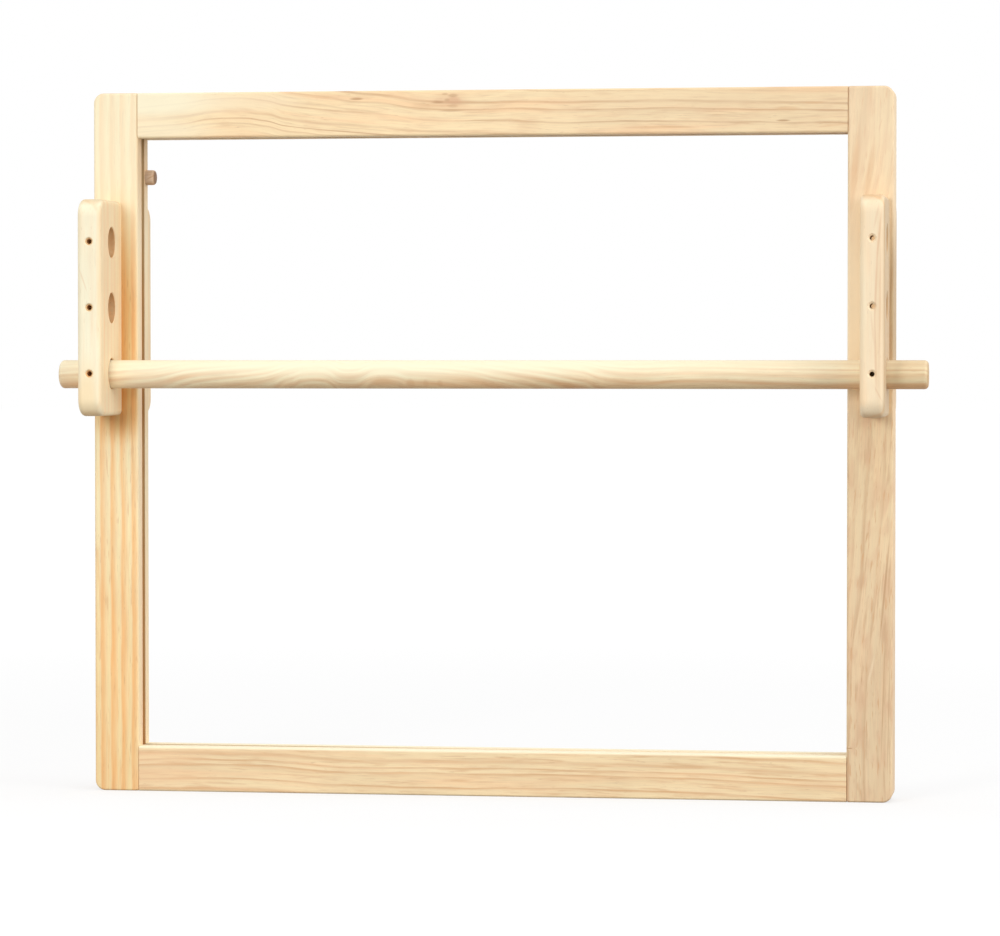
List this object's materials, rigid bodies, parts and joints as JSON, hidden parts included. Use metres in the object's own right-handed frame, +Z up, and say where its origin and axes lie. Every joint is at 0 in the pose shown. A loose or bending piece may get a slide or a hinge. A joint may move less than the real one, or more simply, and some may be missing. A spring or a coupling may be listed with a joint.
{
  "type": "frame loom",
  "caption": "Upright pine frame loom with grooved stiles and rails, bored heddle-rod supports in front and behind, and a round heddle rod that draws out endways.",
  "frame": {"origin": "centre of the resting bottom face: middle of the frame in width and thickness, at its underside", "axes": "+X to the right along the heddle rod, +Y from the weaver through the frame to its back, +Z up"},
  "size_m": [0.86, 0.213, 0.7],
  "materials": {
    "frame_pine": "planed and sanded, bare",
    "support_pine": "sanded, bare",
    "rod_pine": "sanded, bare",
    "peg_beech": "turned, bare",
    "dowel_beech": "bare"
  },
  "bodies": {
    "frame": {"stile_left": "frame_pine", "stile_right": "frame_pine", "bottom_rail": "frame_pine", "top_rail": "frame_pine", "rod_support_front_left": "support_pine", "rod_support_front_right": "support_pine", "rod_support_rear_left": "support_pine", "rod_support_rear_right": "support_pine", "tie_peg": "peg_beech", "corner_dowel_bottom_left_front": "dowel_beech", "corner_dowel_bottom_left_rear": "dowel_beech", "corner_dowel_bottom_right_front": "dowel_beech", "corner_dowel_bottom_right_rear": "dowel_beech", "corner_dowel_top_left_front": "dowel_beech", "corner_dowel_top_left_rear": "dowel_beech", "corner_dowel_top_right_front": "dowel_beech", "corner_dowel_top_right_rear": "dowel_beech", "support_dowel_left_lower": "dowel_beech", "support_dowel_left_upper": "dowel_beech", "support_dowel_right_lower": "dowel_beech", "support_dowel_right_upper": "dowel_beech"},
    "heddle_rod": {"heddle_rod": "rod_pine"}
  },
  "joints": [
    {"name": "rod_slide", "type": "slide", "parent": "frame", "child": "heddle_rod", "axis": [1, 0, 0], "range_m": [-0.85, 0.85]}
  ]
}
